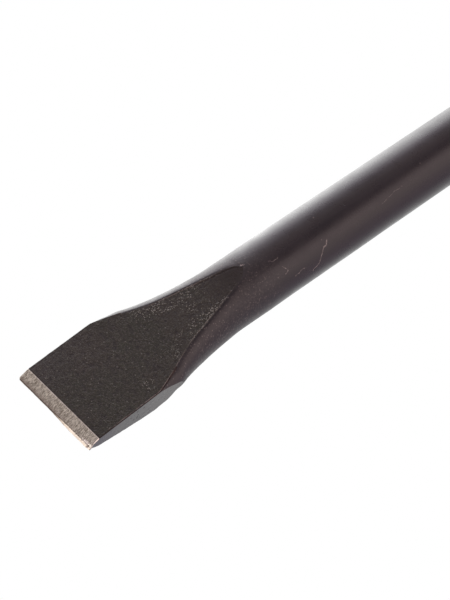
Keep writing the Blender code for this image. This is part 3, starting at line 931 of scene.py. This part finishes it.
def side_flat():
    """The sheared side flats: smooth and grey, with a few open pits."""
    n = Nodes("sheared_side_flat")
    c = n.coordinates
    x = n.axis(0)
    cloud = n.noise(c, 260.0, 3.0, 0.55)
    colour = n.mix(n.span(cloud, 0.35, 0.65), (0.079, 0.087, 0.080), (0.097, 0.107, 0.098))
    colour = n.mix(n.span(x, -0.2390, -0.2270, 0.0, 0.6), colour, (0.132, 0.144, 0.130))
    colour = n.mix(n.span(x, -0.2475, -0.2400, 0.80, 0.0), colour, (0.046, 0.041, 0.058))
    fine = n.noise(n.mapped((0.5, 1, 1), (0.1, 0.2, 0.3)), 2300.0, 2.0, 0.6)
    colour = n.mix(n.span(fine, 0.55, 0.70, 0.0, 0.25), colour, (0.055, 0.052, 0.054))
    where = n.span(n.vector("DISTANCE", c, (-0.2360, -0.012, -0.0008)), 0.0022, 0.0046, 1.0, 0.12)
    pits = n.math("MULTIPLY", speckles(n, 1150.0, 0.50, 3.3, 0.24, 0.50), where)
    colour = n.mix(n.math("MULTIPLY", pits, 0.9), colour, (0.010, 0.008, 0.008))
    n.colour(colour)
    n.roughness(n.span(cloud, 0.3, 0.7, 0.24, 0.32))
    height = n.math("SUBTRACT", n.math("MULTIPLY", n.noise(c, 1400.0, 3.0), 0.35), n.math("MULTIPLY", pits, 1.2))
    n.normal(n.bump(height, 0.4, 0.00005))
    n.set(Metallic=0.0, IOR=1.5)
    return n.material


def worn_corner():
    """Rubbed corners of the blade: thin lacquer with brown oxide showing."""
    n = Nodes("worn_blade_corner")
    rust = n.noise(n.coordinates, 1300.0, 3.0, 0.65)
    broad = n.noise(n.coordinates, 300.0, 2.0)
    colour = n.mix(n.span(rust, 0.38, 0.62), (0.021, 0.015, 0.014), (0.058, 0.040, 0.033))
    colour = n.mix(n.span(broad, 0.45, 0.62, 0.0, 0.6), colour, (0.020, 0.014, 0.016))
    n.colour(colour)
    n.roughness(n.span(rust, 0.3, 0.7, 0.62, 0.80))
    n.normal(n.bump(rust, 0.6, 0.00006))
    n.set(Metallic=0.0, IOR=1.28)
    return n.material


def head_face():
    """Struck face: lacquer over a sawn and lightly dressed end, rubbed through at its rim."""
    n = Nodes("lacquer_on_striking_face")
    c = n.coordinates
    arcs = n.tree.nodes.new("ShaderNodeTexWave")
    arcs.wave_type = "RINGS"
    arcs.rings_direction = "X"
    arcs.inputs["Scale"].default_value = 620.0
    arcs.inputs["Distortion"].default_value = 2.2
    arcs.inputs["Detail"].default_value = 2.0
    arcs.inputs["Detail Scale"].default_value = 40.0
    n.link(n.mapped((1, 1, 1), (0, 0.004, -0.002)), arcs.inputs["Vector"])
    colour = n.mix(n.span(n.noise(c, 500.0, 3.0), 0.35, 0.65), (0.026, 0.021, 0.020), (0.040, 0.033, 0.031))
    y, z = n.axis(1), n.axis(2)
    radius = n.math("SQRT", n.math("ADD", n.math("MULTIPLY", y, y), n.math("MULTIPLY", z, z)))
    rub = n.math("MULTIPLY", n.span(radius, 0.0054, 0.0062), n.span(n.noise(c, 800.0, 3.0, 0.6), 0.46, 0.58))
    colour = n.mix(n.math("MULTIPLY", rub, 0.8), colour, (0.22, 0.195, 0.175))
    n.colour(colour)
    n.roughness(n.span(n.noise(c, 900.0, 2.0), 0.3, 0.7, 0.34, 0.48))
    height = n.math("ADD", n.math("MULTIPLY", arcs.outputs["Fac"], 0.5), n.math("MULTIPLY", n.noise(c, 1800.0, 3.0), 0.5))
    n.normal(n.bump(height, 0.4, 0.00005))
    n.set(Metallic=0.0, IOR=1.5)
    return n.material


def moulded(name, dark, light, rough_low, rough_high, stipple, depth):
    """Moulded plastic or rubber: fine spark-eroded stipple, cloudy sheen and a little dust."""
    n = Nodes(name)
    c = n.coordinates
    cloud = n.noise(c, 90.0, 3.0, 0.55)
    grit = n.noise(c, stipple, 3.0, 0.6)
    pores = n.voronoi(c, stipple * 0.8)
    colour = n.mix(n.span(cloud, 0.32, 0.68), dark, light)
    dust = n.math("MULTIPLY", speckles(n, 800.0, 0.03, 4.1), 0.35)
    colour = n.mix(dust, colour, tuple(min(1.0, v * 3 + 0.03) for v in light))
    n.colour(colour)
    n.roughness(n.span(grit, 0.3, 0.7, rough_low, rough_high))
    height = n.math("ADD", n.math("MULTIPLY", grit, 0.6), n.math("MULTIPLY", pores, 0.5))
    n.normal(n.bump(height, 0.45, depth))
    n.set(Metallic=0.0, IOR=1.48)
    return n.material


# ------------------------------------------------------------------ build and place
steel = build_forging()
for made in (lacquer_face(), lacquer_bar(), ground_steel(), side_flat(), bare_edge(), head_face(), worn_corner(), scuffed()):
    steel.data.materials.append(made)
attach(steel, "chisel")
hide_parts("chisel_forging")

core = build_core()
core.data.materials.append(moulded("guard_plastic_black", (0.020, 0.021, 0.023), (0.027, 0.028, 0.030), 0.34, 0.46, 2600.0, 0.00003))
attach(core, "hand_guard")
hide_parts("guard_core")

grip = build_grip()
grip.data.materials.append(moulded("grip_rubber_black", (0.014, 0.014, 0.015), (0.021, 0.021, 0.022), 0.58, 0.74, 2100.0, 0.00005))
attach(grip, "hand_guard")
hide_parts("soft_grip")

cushion = build_cushion()
cushion.data.materials.append(moulded("cushion_rubber_black", (0.014, 0.014, 0.015), (0.021, 0.021, 0.022), 0.58, 0.74, 2100.0, 0.00005))
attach(cushion, "hand_guard")
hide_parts("flange_cushion")

# ------------------------------------------------------------------ floor
floor_mesh = bmesh.new()
bmesh.ops.create_grid(floor_mesh, x_segments=1, y_segments=1, size=6.0)
floor_data = bpy.data.meshes.new("studio_floor")
floor_mesh.to_mesh(floor_data)
floor_mesh.free()
floor = bpy.data.objects.new("studio_floor", floor_data)
floor.location = (0.0, 0.0, cad_low.z - 0.0005)
bpy.context.scene.collection.objects.link(floor)
paper = bpy.data.materials.new("white_paper")
paper.use_nodes = True
tree = paper.node_tree
tree.nodes.clear()
glow = tree.nodes.new("ShaderNodeEmission")
glow.inputs["Color"].default_value = (1, 1, 1, 1)
glow.inputs["Strength"].default_value = 1.0
output = tree.nodes.new("ShaderNodeOutputMaterial")
tree.links.new(glow.outputs[0], output.inputs["Surface"])
floor_data.materials.append(paper)
floor.visible_glossy = False
floor.visible_diffuse = False
floor.visible_transmission = False
floor.visible_shadow = False
floor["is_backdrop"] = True

# ------------------------------------------------------------------ light
world = bpy.data.worlds.new("soft_studio")
bpy.context.scene.world = world
world.use_nodes = True
tree = world.node_tree
tree.nodes.clear()
# Long soft sources lie along the bar: brightness by the angle round X, from +Y over +Z to -Y.
ANGLES = (
    (-180, (0.90, 0.80, 0.81)), (-163, (0.73, 0.60, 0.71)), (-148, (0.48, 0.40, 0.53)), (-134, (0.35, 0.32, 0.42)),
    (-115, (0.88, 0.88, 0.91)), (-90, (1.00, 1.01, 1.01)), (-62, (1.45, 1.45, 1.45)), (-35, (2.8, 2.8, 2.8)),
    (-17, (4.0, 4.0, 4.0)), (-2, (4.2, 4.2, 4.3)), (18, (1.9, 1.72, 1.98)), (31, (0.81, 0.68, 0.83)),
    (48, (0.57, 0.53, 0.57)), (64, (0.55, 0.46, 0.47)), (80, (0.41, 0.35, 0.39)), (100, (0.20, 0.19, 0.24)),
    (118, (0.18, 0.15, 0.20)), (128, (1.10, 0.91, 0.91)), (142, (1.52, 1.23, 1.27)), (160, (1.44, 1.20, 1.17)),
    (180, (0.90, 0.80, 0.81)),
)
coords = tree.nodes.new("ShaderNodeTexCoord")
split = tree.nodes.new("ShaderNodeSeparateXYZ")
tree.links.new(coords.outputs["Generated"], split.inputs[0])
angle = tree.nodes.new("ShaderNodeMath")
angle.operation = "ARCTAN2"
tree.links.new(split.outputs["Z"], angle.inputs[0])
tree.links.new(split.outputs["Y"], angle.inputs[1])
# Towards +X, where the flared flanks look, the sources stand lower on both sides.
beyond = tree.nodes.new("ShaderNodeMapRange")
beyond.interpolation_type = "SMOOTHSTEP"
tree.links.new(split.outputs["X"], beyond.inputs["Value"])
for name, number in (("From Min", 0.49), ("From Max", 0.60), ("To Min", 0.0), ("To Max", radians(-26))):
    beyond.inputs[name].default_value = number
sideways = tree.nodes.new("ShaderNodeMath")
sideways.operation = "COSINE"
tree.links.new(angle.outputs[0], sideways.inputs[0])
lowered = tree.nodes.new("ShaderNodeMath")
lowered.operation = "MULTIPLY_ADD"
tree.links.new(sideways.outputs[0], lowered.inputs[0])
tree.links.new(beyond.outputs["Result"], lowered.inputs[1])
tree.links.new(angle.outputs[0], lowered.inputs[2])
turn = tree.nodes.new("ShaderNodeMath")
turn.operation = "MULTIPLY_ADD"
turn.inputs[1].default_value = 1 / (2 * pi)
turn.inputs[2].default_value = 0.5
tree.links.new(lowered.outputs[0], turn.inputs[0])
wrapped = tree.nodes.new("ShaderNodeMath")
wrapped.operation = "FRACT"
tree.links.new(turn.outputs[0], wrapped.inputs[0])
ramp = tree.nodes.new("ShaderNodeValToRGB")
ramp.color_ramp.interpolation = "EASE"
TOP = 4.5
elements = ramp.color_ramp.elements
while len(elements) < len(ANGLES):
    elements.new(0.5)
for i, (degrees, colour) in enumerate(ANGLES):
    elements[i].position = (degrees + 180) / 360
for i, (degrees, colour) in enumerate(ANGLES):
    elements[i].color = (colour[0] / TOP, colour[1] / TOP, colour[2] / TOP, 1.0)
tree.links.new(wrapped.outputs[0], ramp.inputs["Fac"])
studio = tree.nodes.new("ShaderNodeBackground")
studio.inputs["Strength"].default_value = TOP
tree.links.new(ramp.outputs["Color"], studio.inputs["Color"])
plain = tree.nodes.new("ShaderNodeBackground")
plain.inputs["Color"].default_value = (1, 1, 1, 1)
plain.inputs["Strength"].default_value = 1.0
seen = tree.nodes.new("ShaderNodeLightPath")
either = tree.nodes.new("ShaderNodeMixShader")
tree.links.new(seen.outputs["Is Camera Ray"], either.inputs[0])
tree.links.new(studio.outputs[0], either.inputs[1])
tree.links.new(plain.outputs[0], either.inputs[2])
output = tree.nodes.new("ShaderNodeOutputWorld")
tree.links.new(either.outputs[0], output.inputs["Surface"])

# ------------------------------------------------------------------ camera
camera_data = bpy.data.cameras.new("camera")
camera = bpy.data.objects.new("camera", camera_data)
bpy.context.scene.collection.objects.link(camera)
camera_data.lens = 140.37
camera_data.sensor_width = 36.0
camera_data.clip_start = 0.02
camera_data.clip_end = 20.0
right = Vector((0.7281602, -0.6772481, 0.1054404))
down = Vector((-0.4912895, -0.6229906, -0.6087014))
forward = Vector((0.4779303, 0.3914304, -0.7863618))
turned_by = Matrix((right, -down, -forward)).transposed().to_4x4()
camera.matrix_world = Matrix.Translation((-0.45604765, -0.21095394, 0.42273056)) @ turned_by
bpy.context.scene.camera = camera

scene = bpy.context.scene
scene.view_settings.view_transform = "Standard"
scene.view_settings.look = "None"
scene.view_settings.exposure = 0.0
scene.view_settings.gamma = 1.0

low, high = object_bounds()
